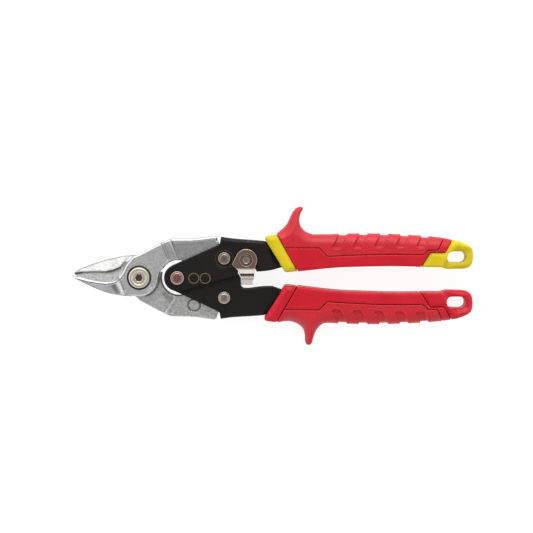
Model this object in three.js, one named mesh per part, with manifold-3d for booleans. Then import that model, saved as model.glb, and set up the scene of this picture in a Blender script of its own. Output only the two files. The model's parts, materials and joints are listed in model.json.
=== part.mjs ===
// Compound-action aviation snips (bulldog pattern), lying on their back, jaws closed and latched.
// Millimetres. +X runs from the main pivot to the handle ends, +Y towards the upper handle, +Z up.
// The origin is on the main pivot axis, in the plane that the snips rest on.
//
// The lower handle and rear blade are the upper handle and front blade turned half a turn about
// the X axis (side = -1), so each frame has one plate outside and one plate inside its partner.

import * as THREE from 'three';
import { mergeVertices } from 'three/addons/utils/BufferGeometryUtils.js';
import Module from 'manifold-3d';

const wasm = await Module();
wasm.setup();

// ---------------------------------------------------------------- driving dimensions
const MID_PLANE = 10;            // height of the shear plane between the blades
const SEAM = 0.3;                // gap between two mouldings, or a moulding and the metal in it
const RUNNING = 0.06;            // radial clearance of a hole that turns on its pin
const SNUG = 0.03;               // radial clearance of a hole whose pin is fixed in it
const ROUND_STEPS = 36;

const HANDLE_PIVOT = [22.9, 0];
const LINK_PIVOT = [51.1, 11.9];       // upper link rivet, the lower one is mirrored
const LATCH_PIVOT = [64.3, 11.1];

const BOSS_TOP = 7;              // heights are counted from the shear plane
const NOSE_TOP = 5.2;
const SHEAR_GAP = 0.05;          // each blade's distance from the shear plane
const BOSS_RADIUS = 11.2;
const EYE_RADIUS = 8.2;          // end of each blade's tail about its link rivet
const TAIL_LOW = -2.925;
const TAIL_HIGH = 5.075;
const RING_HOLE = { x: 23.2, y: 0.5, radius: 10.2 };

const OUTER_PLATE = [5.225, 7.225];    // heights of one frame's two plates
const INNER_PLATE = [-5.075, -3.075];
const SHEET = 2;
const NOSE_RADIUS = 8;           // round end of each frame about the handle pivot
const TANG_HALF_DEPTH = 4.5;
const TANG_END = 168;
const NECK_START = 76;           // the plates bend inward from here
const NECK_END = 83;

const BOLT = { radius: 4, head: 6.2, seat: 5, top: 9.3, counterbore: 7.1, socketFlats: 4 };
const WASHER_THICKNESS = 0.5;
const NUT_FLATS = 12;
const HANDLE_RIVET = { radius: 3, head: 4.1 };
const LINK_RIVET = { radius: 2.5, head: 3.7, looseFit: 0.3 };
const LATCH_RIVET = { radius: 2, head: 3 };
const RIVET_HEAD_HEIGHT = 1.3;
const SPACER_RADIUS = 4.6;
const SPRING = { wire: 1.1, radius: 5.9, turns: 3, legReach: 41 };

const LATCH = { low: 7.5, thickness: 1.5, tabLow: 3.3, discRadius: 6.6 };

const GRIP_HALF = 10;            // half thickness of the grips, which sets the rest plane
const COLLAR_HALF = 9.3;
const LUG_HALF = 6.5;
const SLEEVE_HALF = 6.4;
const HORN_HALF = 7.5;
const LANYARD_SLOT = { x: 190.75, y: 13.65, length: 11.7, radius: 3.4 };

// ---------------------------------------------------------------- outlines (upper side)
const NOSE_BOTTOM = [[-40.2, 0.9], [-38.5, -0.9], [-35, -2.9], [-30, -5.3], [-25, -7.4],
  [-20, -9.2], [-15, -10.4], [-10, -11.0], [-5, -11.3]];
const NOSE_CUTTING_EDGE = [[-12.6, 0.2], [-16, -2.3], [-20, -2.9], [-25, -2.5], [-30, -1.6],
  [-35, -0.2]];
const BOSS_LEFT = [[-4, 12.6], [-5.5, 10.8], [-8, 7.5], [-9.5, 4.5], [-11, 1.8]];
const REAR_NOSE_TOP = [[-3, 13.2], [-10, 12.7], [-15, 11.7], [-20, 10.6], [-25, 9.1], [-30, 7.4],
  [-35, 5.4], [-37.8, 4], [-39.4, 2.2]];
const REAR_CUTTING_EDGE = [[-38.4, 1], [-35, -1.6], [-30, -3.2], [-25, -4.2], [-20, -4.6],
  [-16, -4.4], [-11.2, -3.4]];
const TAIL_TOP = [[46.9, 22.8], [46.5, 24.75], [45, 25.35], [40, 24.65], [35, 23.95],
  [30, 23.6], [19, 23.5], [15, 22], [10, 19.6], [5, 16.9], [0, 14.3]];

const FRAME_OUTER_EDGE = [[75, 22.55], [70, 22.85], [60, 23.5], [55, 23.9], [50, 24.65],
  [49, 24.85]];
const FRAME_LEFT_EDGE = [[48.4, 21], [47.3, 20]];
const TANG_TOP = 19;
const TANG_BOTTOM = 10;
const SHOULDER_END = 89.5;       // each plate's lower corner reaches this far into the collar
const UPPER_INNER_EDGE = [[59.2, 1.7], [59.5, 4.9], [69.9, 5.7], [70.6, 4.1],
  [75, 4.4], [80.2, 5.1], [85.3, 6.6], [88, 7.4]];
const LOWER_INNER_EDGE = [[34, -4.6], [45, -2.4], [59.5, -2.2], [60.8, 0], [61.1, 4.4],
  [62.8, 6.35], [65.7, 6.4], [71.4, 5.6], [75, 5.2], [80.2, 5.0], [85.7, 6.9], [88, 7.6]];

const COLLAR_LINE = [[82.6, 26.6], [95.4, 4.2]];
const PARTING_LINE = [[87.2, 18.55], [108, 18.65], [113, 13.6], [129.7, 14.5], [145, 15.1],
  [155, 15.15], [170.5, 14.95], [173.4, 17.7], [179.2, 17.9], [182.8, 25.4]];
const CAP_LINE = [[168.9, 7.2], [174.8, 16.5], [183.4, 16.4], [188.2, 24.6]];
const COLLAR_FRONT = [[81.5, 26.25], [76.6, 25.55], [75.4, 23.9], [76.2, 22], [85.7, 7],
  [87.5, 4.3], [88.4, 3.9], [94.8, 4.55]];
const INNER_EDGE = [[96, 4.45], [105, 5.55], [115, 6.65], [125, 7.3], [145, 7.9], [155, 8.0],
  [165, 7.85], [169, 7.55]];
const CAP_EDGE = [[169, 7.55], [181.2, 7.55], [183.3, 6.85], [185.5, 6.35], [194.5, 6.5],
  [196.9, 6.75], [199, 7.8], [200.4, 9.9], [201, 12.7], [201, 16.1], [199.8, 19.2],
  [197.6, 20.9], [194.5, 22.4], [191, 23.5], [188, 24.0]];
const OUTER_EDGE = [[182.6, 25.1], [178, 25.55], [166, 26.45], [153, 27.1], [140, 27.35],
  [128, 27.25], [115, 26.75]];
const HORN = [[104.5, 26.6], [101.3, 27.6], [99.3, 28.8], [97.7, 30.5], [96.6, 32.3],
  [96.1, 34.5], [96.1, 36.5], [96.5, 38.3], [97.1, 39.9], [97.9, 41.1], [98.1, 42.3],
  [97.3, 43.3], [95.7, 43.1], [94.1, 42.3], [92.7, 40.9], [91.3, 38.5], [90.1, 35.7],
  [88.9, 33.3], [87.3, 31.1], [85, 29.1], [82.7, 27.2]];
const PRONG = [[112.1, 26.8], [110.5, 27.4], [108.5, 29], [106.9, 31], [105.7, 33.4],
  [104.9, 35.8], [104.4, 38.2], [103.5, 39.6], [102.1, 40.1], [100.9, 39.6], [100.2, 38.2],
  [100.1, 35.8], [99.7, 33], [98.9, 30.6], [97.3, 28.8], [95.3, 27.5], [92.9, 26.5],
  [90, 25.9], [83.5, 26.0]];

// ---------------------------------------------------------------- materials
const steel = (color, roughness) => new THREE.MeshStandardMaterial({ color, roughness,
  metalness: 1 });
const plastic = (color, roughness) => new THREE.MeshStandardMaterial({ color, roughness,
  metalness: 0 });
const FORGED = steel(0x8f9090, 0.45);
const BLACK_SHEET = steel(0x1c1c1e, 0.4);
const NICKEL = steel(0xb5a894, 0.35);
const CHROME = steel(0xd8d8da, 0.15);
const DARK_RIVET = steel(0x4a4040, 0.4);
const SPRING_STEEL = steel(0x77787c, 0.4);
const YELLOW = plastic(0xd8c418, 0.5);
const RED_SHELL = plastic(0xc71a2c, 0.4);
const RED_PAD = plastic(0xb8202c, 0.75);

// ---------------------------------------------------------------- shape helpers
const degrees = Math.PI / 180;

// Points along an arc, both ends included; it turns clockwise where `to` is below `from`.
function arc(x, y, radius, from, to, steps) {
  return Array.from({ length: steps + 1 }, (_, i) => {
    const angle = (from + (to - from) * i / steps) * degrees;
    return [x + radius * Math.cos(angle), y + radius * Math.sin(angle)];
  });
}

function circle(x, y, radius, steps = ROUND_STEPS) {
  return arc(x, y, radius, 0, 360, steps).slice(0, -1);
}

function hexagon(flats) {
  return circle(0, 0, flats / 2 / Math.cos(30 * degrees), 6);
}

// A strip of even width along an open line, used to cut a parting groove.
function strip(line, width) {
  const left = [];
  const right = [];
  line.forEach(([x, y], i) => {
    const [x0, y0] = line[Math.max(i - 1, 0)];
    const [x1, y1] = line[Math.min(i + 1, line.length - 1)];
    const run = Math.hypot(x1 - x0, y1 - y0);
    const [nx, ny] = [-(y1 - y0) / run * width / 2, (x1 - x0) / run * width / 2];
    left.push([x + nx, y + ny]);
    right.unshift([x - nx, y - ny]);
  });
  return [...left, ...right];
}

// An upright slab over an outline. side = -1 gives the same slab turned over to the lower side.
function slab(outline, low, high, side = 1) {
  const shape = new THREE.Shape(outline.map(([x, y]) => new THREE.Vector2(x, side * y)));
  const geometry = new THREE.ExtrudeGeometry(shape, { depth: high - low, bevelEnabled: false });
  geometry.translate(0, 0, side > 0 ? low : -high);
  return solid(geometry);
}

// A bar along Y with a given outline in the XZ plane.
function bar(outlineXZ, yLow, yHigh, side = 1) {
  const shape = new THREE.Shape(outlineXZ.map(([x, z]) => new THREE.Vector2(x, side * z)));
  const geometry = new THREE.ExtrudeGeometry(shape, { depth: yHigh - yLow, bevelEnabled: false });
  geometry.rotateX(90 * degrees);
  geometry.translate(0, side > 0 ? yHigh : -yLow, 0);
  return solid(geometry);
}

function solid(geometry) {
  geometry.deleteAttribute('normal');
  geometry.deleteAttribute('uv');
  const merged = mergeVertices(geometry, 1e-4);
  return new wasm.Manifold(new wasm.Mesh({
    numProp: 3,
    vertProperties: new Float32Array(merged.attributes.position.array),
    triVerts: new Uint32Array(merged.index.array),
  }));
}

function union(first, ...others) {
  return others.reduce((sum, other) => sum.add(other), first);
}

function cut(body, ...tools) {
  return tools.reduce((rest, tool) => rest.subtract(tool), body);
}

const tool = new THREE.Group();
tool.position.z = MID_PLANE;

function place(name, body, material) {
  const { vertProperties, triVerts } = body.getMesh();
  const geometry = new THREE.BufferGeometry();
  geometry.setAttribute('position', new THREE.BufferAttribute(vertProperties, 3));
  geometry.setIndex(new THREE.BufferAttribute(triVerts, 1));
  geometry.computeVertexNormals();
  const mesh = new THREE.Mesh(geometry, material);
  mesh.name = name;
  tool.add(mesh);
}

// ---------------------------------------------------------------- blades
const [linkX, linkY] = LINK_PIVOT;
const bolt = BOLT;

// The tail reaches from the boss over the ring hole to an eye round the link rivet.
function tailOutline(ringStart) {
  const ring = arc(RING_HOLE.x, RING_HOLE.y, RING_HOLE.radius, ringStart, 38, 10);
  const eye = arc(linkX, linkY, EYE_RADIUS, -90, 112, 14);
  return [...ring, [36, 5.6], [43, 4.3], ...eye, ...TAIL_TOP];
}

// A wedge over the root of the tail that leaves a slope from the boss down to the tail.
function tailRamp(side) {
  const slope = [[12, BOSS_TOP + 1], [14.5, BOSS_TOP], [20.5, TAIL_HIGH], [75, TAIL_HIGH],
    [75, BOSS_TOP + 1]];
  return bar(slope, 3, 30, side);
}

// The nose is thinner than the boss and meets it in a short ramp.
function noseRelief(edgeX, side) {
  const slope = [[-45, NOSE_TOP], [edgeX - 2.5, NOSE_TOP], [edgeX, BOSS_TOP],
    [edgeX, BOSS_TOP + 1], [-45, BOSS_TOP + 1]];
  return bar(slope, -20, 20, side);
}

function bladeHoles(linkRadius, side) {
  return [
    slab(circle(0, 0, bolt.radius + RUNNING), -1, BOSS_TOP + 1, side),
    slab(circle(0, 0, bolt.counterbore), bolt.seat, BOSS_TOP + 1, side),
    slab(circle(linkX, linkY, linkRadius), TAIL_LOW - 1, TAIL_HIGH + 1, side),
  ];
}

// Everything of the tail below the shear plane starts clear of the other blade's boss.
function deepTail(side) {
  const root = slab(circle(0, 0, BOSS_RADIUS + 0.8), TAIL_LOW - 1, 0.5, side);
  const before = bar([[-5, -9], [15.5, -9], [15.5, 0.3], [-5, 0.3]], -5, 40, side);
  return cut(slab(tailOutline(140), TAIL_LOW, TAIL_HIGH, side), root, before);
}

function frontBlade() {
  const bossRight = [...arc(0, 0, BOSS_RADIUS, -95, 0, 14), [11.6, 1.5], [12.4, 3.8]];
  const outline = [...NOSE_BOTTOM, ...bossRight, ...tailOutline(150), ...BOSS_LEFT,
    ...NOSE_CUTTING_EDGE];
  const body = union(slab(outline, SHEAR_GAP, BOSS_TOP), deepTail(1));
  return cut(body, tailRamp(1), noseRelief(-10.5, 1),
    ...bladeHoles(LINK_RIVET.radius + LINK_RIVET.looseFit, 1));
}

function rearBlade() {
  const mirrored = (points) => points.map(([x, y]) => [x, -y]);
  const bossUpper = mirrored([[-3, 13.2], [3, 12], ...arc(0, 0, BOSS_RADIUS + 0.4, 70, 18, 6),
    [13.3, 3.2]]).reverse();
  const ringLeft = arc(RING_HOLE.x, RING_HOLE.y, RING_HOLE.radius, 195, 152, 5);
  const bossLower = [[-3, 11.6], [-8.5, 8]];
  const outline = [...mirrored(REAR_CUTTING_EDGE), ...bossLower.reverse(),
    ...tailOutline(150).reverse(), ...ringLeft.reverse(), ...bossUpper,
    ...mirrored(REAR_NOSE_TOP.slice(1))];
  const body = union(slab(outline, SHEAR_GAP, BOSS_TOP, -1), deepTail(-1));
  return cut(body, tailRamp(-1), noseRelief(-10.5, -1),
    ...bladeHoles(LINK_RIVET.radius + RUNNING, -1));
}

// ---------------------------------------------------------------- frames
// One folded channel: a plate at each side, a web along the outer edge, and a narrower tang.
function frame(innerEdge, side) {
  const [px, py] = HANDLE_PIVOT;
  const nose = arc(px, py, NOSE_RADIUS, 114.6, 285, 18);
  const tang = [[SHOULDER_END, TANG_BOTTOM], [TANG_END, TANG_BOTTOM], [TANG_END, TANG_TOP],
    [NECK_END + 1, TANG_TOP]];
  const plan = [...nose, ...innerEdge, ...tang, ...FRAME_OUTER_EDGE, ...FRAME_LEFT_EDGE];
  const webPlan = [...FRAME_OUTER_EDGE, [FRAME_LEFT_EDGE[0][0] + 0.2, 22.6], [55, 21.9],
    [60, 21.5], [75, 20.5], [NECK_END + 1, TANG_TOP - SHEET], [TANG_END, TANG_TOP - SHEET],
    [TANG_END, TANG_TOP], [NECK_END + 1, TANG_TOP]];
  const plateSection = ([low, high], tangLow, tangHigh) => [[0, low], [NECK_START, low],
    [NECK_END, tangLow], [TANG_END + 1, tangLow], [TANG_END + 1, tangHigh],
    [NECK_END, tangHigh], [NECK_START, high], [0, high]];
  const inside = TANG_HALF_DEPTH - SHEET;
  const front = plateSection(OUTER_PLATE, inside, TANG_HALF_DEPTH);
  const back = plateSection(INNER_PLATE, -TANG_HALF_DEPTH, -inside);
  const whole = plateSection([INNER_PLATE[0], OUTER_PLATE[1]], -TANG_HALF_DEPTH,
    TANG_HALF_DEPTH);
  const outline = slab(plan, -GRIP_HALF, GRIP_HALF, side);
  const channel = union(bar(front, -40, 40, side).intersect(outline),
    bar(back, -40, 40, side).intersect(outline),
    bar(whole, -40, 40, side).intersect(slab(webPlan, -GRIP_HALF, GRIP_HALF, side)));
  const pivotRadius = HANDLE_RIVET.radius + (side > 0 ? RUNNING : SNUG);
  const holes = [slab(circle(px, py, pivotRadius), -9, 9, side),
    slab(circle(linkX, linkY, LINK_RIVET.radius + SNUG), -9, 9, side)];
  if (side > 0) {
    holes.push(slab(circle(...LATCH_PIVOT, LATCH_RIVET.radius + SNUG), 0, 9));
  }
  return cut(channel, ...holes);
}

// ---------------------------------------------------------------- rivets, bolt and spring
function rivet([x, y], { radius, head }, frontFace, backFace, side = 1) {
  return union(slab(circle(x, y, radius), backFace - 0.2, frontFace + 0.2, side),
    slab(circle(x, y, head, 24), frontFace + 0.02, frontFace + RIVET_HEAD_HEIGHT, side),
    slab(circle(x, y, head, 24), backFace - RIVET_HEAD_HEIGHT, backFace - 0.02, side));
}

function pivotBolt() {
  const socket = slab(hexagon(bolt.socketFlats), bolt.top - 2.5, bolt.top + 1);
  const headPart = slab(circle(0, 0, bolt.head), bolt.seat + 0.02, bolt.top);
  return cut(union(slab(circle(0, 0, bolt.radius), -MID_PLANE, bolt.top - 1), headPart), socket);
}

function washer(x, y, inner, outer, low, high, side = 1) {
  return cut(slab(circle(x, y, outer, 32), low, high, side),
    slab(circle(x, y, inner, 32), low - 1, high + 1, side));
}

// A torsion spring round the handle pivot with a leg along each frame.
function returnSpring() {
  const [px] = HANDLE_PIVOT;
  const { wire, radius, turns, legReach } = SPRING;
  const path = new THREE.CurvePath();
  const pitch = wire * 1.1;
  const start = -70;
  const sweep = turns * 360 + 220;
  const steps = 44;
  const points = Array.from({ length: steps + 1 }, (_, i) => {
    const angle = (start - sweep * i / steps) * degrees;
    const z = (i / steps - 0.5) * pitch * (turns + 0.6);
    return new THREE.Vector3(px + radius * Math.cos(angle), radius * Math.sin(angle), z);
  });
  const lowEnd = new THREE.Vector3(legReach, -2.6, points[0].z);
  const highEnd = new THREE.Vector3(legReach, 2.6, points[steps].z);
  const line = [lowEnd, ...points, highEnd];
  for (let i = 1; i < line.length; i += 1) {
    path.add(new THREE.LineCurve3(line[i - 1], line[i]));
  }
  const section = new THREE.Shape(circle(0, 0, wire / 2, 6).map(([x, y]) =>
    new THREE.Vector2(x, y)));
  return solid(new THREE.ExtrudeGeometry(section, { steps: 80, extrudePath: path,
    bevelEnabled: false }));
}

// ---------------------------------------------------------------- latch
// A disc on the upper frame's plate, bent down past the plate's edge to a tab that fills the
// gap between the frames in front of the lower frame's catch edge.
function latchPlate() {
  const [x, y] = LATCH_PIVOT;
  const { low, thickness, tabLow, discRadius } = LATCH;
  const high = low + thickness;
  const outline = [[68.3, -3.9], [68.3, -1.2], [69.1, 0], [69.1, 3.3],
    ...arc(x, y, discRadius, -38, 155, 16), [55.9, 8.3], [58.8, 5.3], [60.6, 3.3],
    [61.5, 1], [61.5, -3.9]];
  const profileYZ = [[20, low], [4.6, low], [2.3, tabLow], [-5, tabLow], [-5, tabLow + 1.5],
    [0.9, tabLow + thickness], [3.4, high], [20, high]];
  const shape = new THREE.Shape(profileYZ.map(([u, v]) => new THREE.Vector2(u, v)));
  const geometry = new THREE.ExtrudeGeometry(shape, { depth: 20, bevelEnabled: false });
  geometry.applyMatrix4(new THREE.Matrix4().makeBasis(new THREE.Vector3(0, 1, 0),
    new THREE.Vector3(0, 0, 1), new THREE.Vector3(1, 0, 0)).setPosition(53, 0, 0));
  return cut(solid(geometry).intersect(slab(outline, 0, GRIP_HALF)),
    slab(circle(x, y, LATCH_RIVET.radius + RUNNING), 0, GRIP_HALF));
}

function latchRivet() {
  const [x, y] = LATCH_PIVOT;
  const low = OUTER_PLATE[0] - 1;
  const high = LATCH.low + LATCH.thickness;
  return union(slab(circle(x, y, LATCH_RIVET.radius), low, high + 0.3),
    slab(circle(x, y, LATCH_RIVET.head, 32), high + 0.05, high + 0.75),
    slab(circle(x, y, LATCH_RIVET.head, 32), low, OUTER_PLATE[0] - 0.02));
}

// ---------------------------------------------------------------- grips
const SLEEVE = [[84, 8], [130, 8.6], [168, 9.2], [172, 9.2], [172, 20.6], [84, 20.6]];

function gripPocket(side) {
  const wide = [[70, 24], [76, 23.4], [80, 22.2], [NECK_END + 1.6, TANG_TOP + SEAM],
    [NECK_END + 1.6, TANG_BOTTOM - SEAM], [NECK_END + 1.6, 6.6], [82, 4.4], [70, 3]];
  const tang = [[80, TANG_BOTTOM - SEAM], [TANG_END + SEAM, TANG_BOTTOM - SEAM],
    [TANG_END + SEAM, TANG_TOP + SEAM], [80, TANG_TOP + SEAM]];
  const shoulder = [[80, 4.2], [86, 6], [88.6, 6.9], [SHOULDER_END + 0.7, TANG_BOTTOM - SEAM],
    [80, TANG_BOTTOM - SEAM]];
  const half = TANG_HALF_DEPTH + SEAM;
  return union(slab(wide, -OUTER_PLATE[1] - SEAM, OUTER_PLATE[1] + SEAM, side),
    slab(tang, -half, half, side), slab(shoulder, -half, half, side));
}

function lanyardSlot(side) {
  const { x, y, length, radius } = LANYARD_SLOT;
  const reach = length / 2 - radius;
  return slab([...arc(x + reach, y, radius, -90, 90, 8), ...arc(x - reach, y, radius, 90, 270, 8)],
    -GRIP_HALF - 1, GRIP_HALF + 1, side);
}

function gripCore(side) {
  const collar = slab([...COLLAR_FRONT, [95.2, 4.6], [82.7, 26.3]], -COLLAR_HALF, COLLAR_HALF,
    side);
  const cap = slab([...CAP_EDGE, ...[...CAP_LINE].reverse().slice(0, -1)], -COLLAR_HALF,
    COLLAR_HALF, side);
  const thinLug = [[182, LUG_HALF], [185.5, LUG_HALF], [202, LUG_HALF], [202, GRIP_HALF],
    [179, GRIP_HALF]];
  const thinBack = thinLug.map(([x, z]) => [x, -z]).reverse();
  const sleeve = slab(SLEEVE, -SLEEVE_HALF, SLEEVE_HALF, side);
  return cut(union(collar, cap, sleeve), bar(thinLug, 0, 40, side), bar(thinBack, 0, 40, side),
    gripPocket(side), lanyardSlot(side));
}

function gripCuts(side) {
  const grow = SEAM;
  const sleeve = [[80, 8 - grow], [168, 9.2 - grow], [172 + grow, 9.2 - grow],
    [172 + grow, 20.6 + grow], [80, 20.6 + grow]];
  const groove = (line) => slab(strip(line, SEAM * 2), -GRIP_HALF - 1, GRIP_HALF + 1, side);
  return [slab(sleeve, -SLEEVE_HALF - grow, SLEEVE_HALF + grow, side), groove(COLLAR_LINE),
    groove(PARTING_LINE), groove(CAP_LINE)];
}

function gripShell(side) {
  const region = [...INNER_EDGE, ...CAP_LINE, [182.8, 25.4],
    ...[...PARTING_LINE].reverse().slice(1), [95.29, 4.4]];
  return cut(slab(region, -GRIP_HALF, GRIP_HALF, side), ...gripCuts(side));
}

function gripPad(finger, side) {
  const region = [...PARTING_LINE.slice(0, -1), ...OUTER_EDGE, [112.2, 26.7], [104.6, 26.5],
    [82.77, 26.3]];
  const root = [[104, 24], [84, 24]];
  return cut(union(slab(region, -GRIP_HALF, GRIP_HALF, side),
    slab([...finger, ...root.reverse()], -HORN_HALF, HORN_HALF, side)), ...gripCuts(side));
}

// ---------------------------------------------------------------- assembly
place('front_blade', frontBlade(), FORGED);
place('rear_blade', rearBlade(), FORGED);
place('pivot_bolt', pivotBolt(), NICKEL);
place('pivot_washer', washer(0, 0, bolt.radius + SNUG, 6.8, -bolt.seat - WASHER_THICKNESS,
  -bolt.seat - 0.02), NICKEL);
place('pivot_nut', cut(slab(hexagon(NUT_FLATS), -MID_PLANE, -bolt.seat - WASHER_THICKNESS - 0.02),
  slab(circle(0, 0, bolt.radius + SNUG), -MID_PLANE - 1, 0)), NICKEL);

place('handle_pivot_rivet', rivet(HANDLE_PIVOT, HANDLE_RIVET, OUTER_PLATE[1], -OUTER_PLATE[1]),
  DARK_RIVET);
place('handle_pivot_spacer', washer(...HANDLE_PIVOT, HANDLE_RIVET.radius + SNUG, SPACER_RADIUS,
  INNER_PLATE[1] + 0.02, -INNER_PLATE[1] - 0.02), SPRING_STEEL);
place('return_spring', returnSpring(), SPRING_STEEL);

for (const [handle, side] of [['upper', 1], ['lower', -1]]) {
  const upper = side > 0;
  place(`${handle}_handle_frame`, frame(upper ? UPPER_INNER_EDGE : LOWER_INNER_EDGE, side),
    BLACK_SHEET);
  place(`${handle}_link_rivet`, rivet(LINK_PIVOT, LINK_RIVET, OUTER_PLATE[1], INNER_PLATE[0],
    side), DARK_RIVET);
  place(`${handle}_grip_core`, gripCore(side), upper ? YELLOW : RED_SHELL);
  place(`${handle}_grip_shell`, gripShell(side), RED_SHELL);
  place(`${handle}_grip_pad`, gripPad(upper ? HORN : PRONG, side), RED_PAD);
}

place('latch_plate', latchPlate(), CHROME);
place('latch_spring_washer', washer(...LATCH_PIVOT, LATCH_RIVET.radius + SNUG, 4.4,
  OUTER_PLATE[1] + 0.02, LATCH.low - 0.02), SPRING_STEEL);
place('latch_rivet', latchRivet(), DARK_RIVET);

const snips = new THREE.Group();
snips.add(tool);
export default snips;
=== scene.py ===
"""Aviation snips, lying on their back on a pale floor and seen from above.

Every forged, pressed or moulded piece is built as a solid from distance fields: an outline in
plan, a thickness and edge radii are combined on a grid, and the surface where the field is zero
becomes the mesh. Lengths are in millimetres in the CAD part's frame, and heights are counted
from the plane between the blades, until a mesh is made. side = -1 turns a shape over to the
lower handle, as the CAD part does.
"""
import json
import math

import bpy
import numpy as np
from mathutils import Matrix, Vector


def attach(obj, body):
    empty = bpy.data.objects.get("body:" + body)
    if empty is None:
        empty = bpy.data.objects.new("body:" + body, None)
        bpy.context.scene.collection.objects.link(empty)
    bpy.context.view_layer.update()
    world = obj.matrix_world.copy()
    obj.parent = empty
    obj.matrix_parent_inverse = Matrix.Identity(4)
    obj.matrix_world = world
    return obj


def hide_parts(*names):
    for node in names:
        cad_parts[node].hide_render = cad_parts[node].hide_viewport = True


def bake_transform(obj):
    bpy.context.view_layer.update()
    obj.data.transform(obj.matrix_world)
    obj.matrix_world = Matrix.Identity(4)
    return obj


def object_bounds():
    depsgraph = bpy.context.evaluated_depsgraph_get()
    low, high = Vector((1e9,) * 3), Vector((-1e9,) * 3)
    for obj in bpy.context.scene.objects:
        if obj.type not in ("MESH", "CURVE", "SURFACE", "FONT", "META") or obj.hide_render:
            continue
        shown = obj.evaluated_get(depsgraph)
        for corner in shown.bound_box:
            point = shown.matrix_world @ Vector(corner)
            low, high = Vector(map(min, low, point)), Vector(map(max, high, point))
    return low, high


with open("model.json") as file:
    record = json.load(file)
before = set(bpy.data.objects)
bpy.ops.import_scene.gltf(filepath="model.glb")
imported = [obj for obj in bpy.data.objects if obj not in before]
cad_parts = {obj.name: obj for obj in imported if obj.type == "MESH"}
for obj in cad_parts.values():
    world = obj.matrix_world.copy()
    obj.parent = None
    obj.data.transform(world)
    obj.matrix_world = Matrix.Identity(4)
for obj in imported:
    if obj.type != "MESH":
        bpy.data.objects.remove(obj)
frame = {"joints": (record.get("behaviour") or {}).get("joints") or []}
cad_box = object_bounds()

import openvdb
from mathutils import Matrix, Vector

MM = 0.001
low_corner, high_corner = cad_box
MID_PLANE = (low_corner[2] + high_corner[2]) / 2 / MM


def joint_point(name):
    """Where a joint's axis is, in plan, in millimetres."""
    joint = next(j for j in frame["joints"] if j["name"] == name)
    return joint["pos_m"][0] / MM, joint["pos_m"][1] / MM


HANDLE_PIVOT = joint_point("handle_pivot")
LATCH_PIVOT = joint_point("latch_swing")
lower_link = joint_point("rear_blade_link")
LINK_PIVOT = (lower_link[0], -lower_link[1])


# ------------------------------------------------------------------ distance fields
class Grid:
    """Sample points in a box, as three arrays that broadcast against each other."""

    def __init__(self, low, high, step):
        self.low = low
        self.step = step
        counts = [int(round((b - a) / step)) + 1 for a, b in zip(low, high)]
        axes = [a + step * np.arange(n, dtype=np.float32) for a, n in zip(low, counts)]
        self.x = axes[0][:, None, None]
        self.y = axes[1][None, :, None]
        self.z = axes[2][None, None, :]


def arc(x, y, radius, start, end, steps):
    """Points on an arc, in degrees, both ends included."""
    angles = np.radians(np.linspace(start, end, steps + 1))
    return [(x + radius * math.cos(a), y + radius * math.sin(a)) for a in angles]


def distance_to_line(px, py, line):
    best = np.full(np.broadcast_shapes(px.shape, py.shape), 1e6, dtype=np.float32)
    for (x0, y0), (x1, y1) in zip(line, line[1:]):
        dx, dy = x1 - x0, y1 - y0
        squared = max(dx * dx + dy * dy, 1e-9)
        along = np.clip(((px - x0) * dx + (py - y0) * dy) / squared, 0, 1)
        best = np.minimum(best, np.hypot(px - x0 - along * dx, py - y0 - along * dy))
    return best


def line_distance(g, line):
    """Distance in plan from an open line of points."""
    return distance_to_line(g.x, g.y, line)


def plan_distance(g, outline):
    """Signed distance in plan from a closed outline, negative inside it."""
    inside = np.zeros(np.broadcast_shapes(g.x.shape, g.y.shape), dtype=bool)
    closed = [*outline, outline[0]]
    for (x0, y0), (x1, y1) in zip(closed, closed[1:]):
        if y0 != y1:
            crosses = (y0 > g.y) != (y1 > g.y)
            inside ^= crosses & (g.x < (x1 - x0) * (g.y - y0) / (y1 - y0) + x0)
    edge = line_distance(g, closed)
    return np.where(inside, -edge, edge)


def both(a, b, radius=0.0):
    """Where two solids overlap, with the edge between them rounded."""
    a, b = a + radius, b + radius
    outside = np.hypot(np.maximum(a, 0), np.maximum(b, 0))
    return np.minimum(np.maximum(a, b), 0) + outside - radius


def either(a, b, radius=0.0):
    """Two solids joined, with the corner between them filled."""
    return -both(-a, -b, radius)


def without(a, b, radius=0.0):
    """The first solid with the second cut out of it."""
    return both(a, -b, radius)


def ease(value):
    """Runs smoothly from 0 to 1 as value goes from 0 to 1."""
    t = np.clip(value, 0, 1)
    return t * t * (3 - 2 * t)


def between(value, start, end):
    return ease((value - start) / (end - start))


def from_axis(g, centre=(0, 0)):
    """Distance in plan from an upright axis."""
    return np.hypot(g.x - centre[0], g.y - centre[1])


def disc(g, centre, radius):
    return from_axis(g, centre) - radius


def levels(g, low, high):
    return np.maximum(low - g.z, g.z - high)


def smooth_line(points, steps=4):
    """A Catmull-Rom curve through the points."""
    p = [points[0], *points, points[-1]]
    result = []
    for i in range(1, len(p) - 2):
        for k in range(steps):
            t = k / steps
            result.append(tuple(
                0.5 * (2 * b + (c - a) * t + (2 * a - 5 * b + 4 * c - d) * t * t
                       + (3 * b - a - 3 * c + d) * t ** 3)
                for a, b, c, d in zip(p[i - 1], p[i], p[i + 1], p[i + 2])))
    return [*result, points[-1]]


# ------------------------------------------------------------------ from field to piece
def surface(g, field):
    """The vertices and quads where the field is zero."""
    volume = openvdb.FloatGrid(100.0)
    volume.copyFromArray(np.ascontiguousarray(field, dtype=np.float32))
    points, quads = volume.convertToQuads(0.0)
    return np.array(points) * g.step + np.array(g.low), np.array(quads)


def add_object(name, data):
    obj = bpy.data.objects.new(name, data)
    bpy.context.scene.collection.objects.link(obj)
    return obj


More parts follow.
